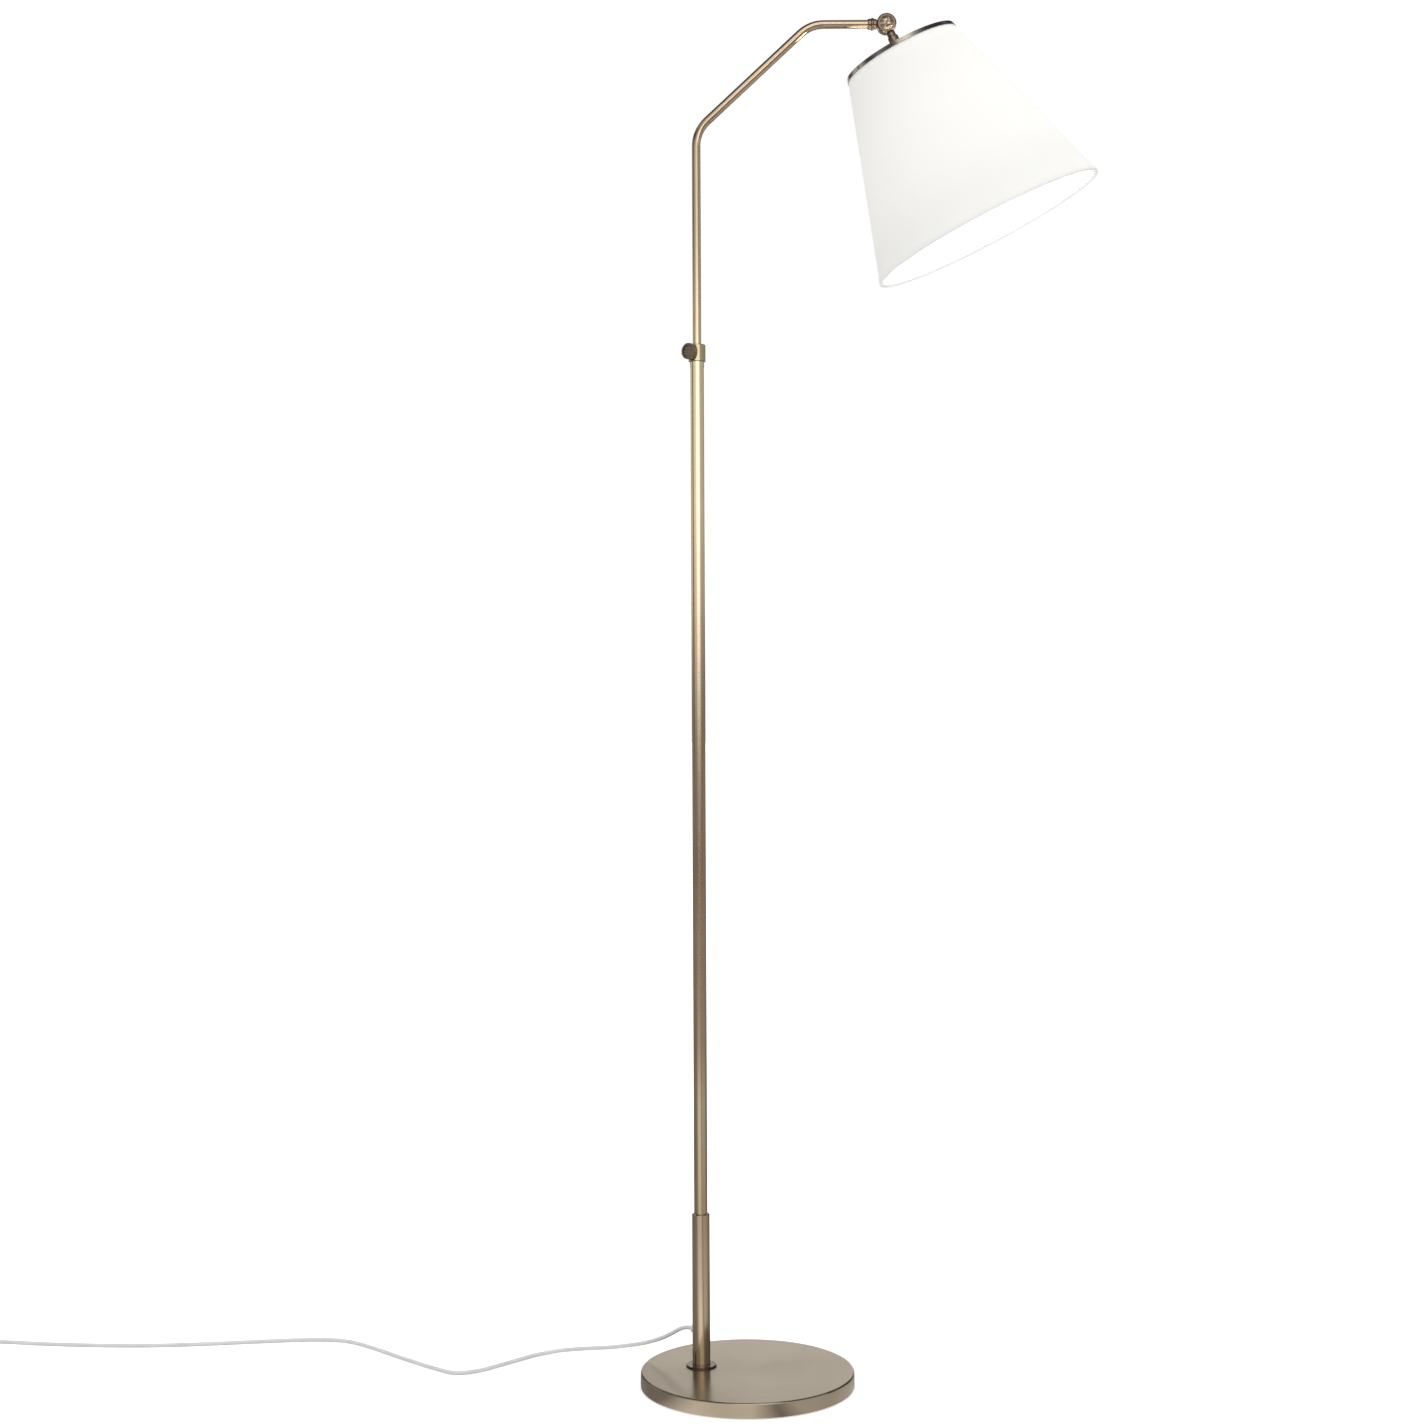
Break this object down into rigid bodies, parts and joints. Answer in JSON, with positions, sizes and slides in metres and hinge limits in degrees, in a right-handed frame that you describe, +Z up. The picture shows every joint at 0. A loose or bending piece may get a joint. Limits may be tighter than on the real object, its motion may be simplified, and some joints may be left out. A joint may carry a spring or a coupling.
{
  "type": "pharmacy floor lamp",
  "caption": "Floor lamp with a round weighted base, off-centre pole, height-adjustable bent swing arm, tilting tapered fabric shade and mains cord.",
  "frame": {"origin": "centre of the base's underside, on the floor", "axes": "+Z up; +X from the pole towards the shade; +Y away from the viewer"},
  "size_m": [1.4496, 0.31, 1.603],
  "materials": {
    "antique_brass": "satin brushed antique brass",
    "dark_brass": "dark aged brass",
    "socket_brass": "plain brass",
    "cast_iron": "raw casting",
    "steel": "zinc plated",
    "pad": "matte",
    "white_plastic": "semi-gloss",
    "shade_fabric": "fine white linen on a clear liner",
    "bulb_glass": "frosted",
    "cord_pvc": "smooth PVC"
  },
  "bodies": {
    "stand": {"base_pad": "pad", "base_weight": "cast_iron", "base_cover": "antique_brass", "threaded_stud": "steel", "lock_washer": "steel", "base_nut": "steel", "foot_ring": "antique_brass", "sleeve_insert": "steel", "lower_sleeve": "antique_brass", "cord_grommet": "white_plastic", "main_pole": "antique_brass", "pole_bush": "antique_brass", "height_collar": "antique_brass", "pole_cord": "cord_pvc", "slack_cord": "cord_pvc", "mains_cord": "cord_pvc", "cord_coil": "cord_pvc", "cord_tail": "cord_pvc", "strain_relief": "white_plastic", "plug_body": "white_plastic", "plug_pins": "steel"},
    "guide": {"arm_guide": "white_plastic"},
    "arm": {"arm_tube": "antique_brass", "arm_ferrule": "antique_brass", "knuckle_arm_half": "antique_brass", "knuckle_washer": "dark_brass", "knuckle_screw": "antique_brass", "knuckle_nut": "antique_brass", "arm_cord": "cord_pvc"},
    "head": {"knuckle_head_half": "antique_brass", "head_stem": "antique_brass", "stem_nipple": "steel", "socket_cap": "antique_brass", "lamp_holder": "white_plastic", "socket_shell": "socket_brass", "socket_contact": "steel", "shade_nut": "white_plastic", "shade_spider": "steel", "shade_fabric": "shade_fabric", "shade_top_band": "dark_brass", "shade_hem_ring": "steel", "bulb_base": "steel", "bulb_glass": "bulb_glass", "head_cord": "cord_pvc"},
    "switch": {"switch_knob": "dark_brass"},
    "clamp": {"clamp_pad": "steel"},
    "knob": {"clamp_knob": "antique_brass", "clamp_screw": "steel"}
  },
  "joints": [
    {"name": "arm_height", "type": "slide", "parent": "stand", "child": "guide", "axis": [0, 0, 1], "range_m": [-0.22, 0.03], "deforming": ["slack_cord"]},
    {"name": "arm_swivel", "type": "hinge", "parent": "guide", "child": "arm", "pos_m": [-0.054, 0.017, 1.107], "axis": [0, 0, 1], "range_deg": [-170, 170]},
    {"name": "shade_tilt", "type": "hinge", "parent": "arm", "child": "head", "pos_m": [0.169, 0.017, 1.5915], "axis": [0, -1, 0], "range_deg": [-38, 60]},
    {"name": "switch_turn", "type": "hinge", "parent": "head", "child": "switch", "pos_m": [0.20622, 0.017, 1.51619], "axis": [0, -1, 0], "continuous": true},
    {"name": "clamp_feed", "type": "slide", "parent": "stand", "child": "clamp", "axis": [-0.6293, -0.7771, 0], "range_m": [0, 0.0013]},
    {"name": "knob_turn", "type": "hinge", "parent": "clamp", "child": "knob", "pos_m": [-0.054, 0.017, 1.209], "axis": [-0.6293, -0.7771, 0], "range_deg": [0, 540]}
  ],
  "couplings": [
    {"joint": "clamp_feed", "follows": "knob_turn", "m_per_rad": 0.00012732}
  ]
}
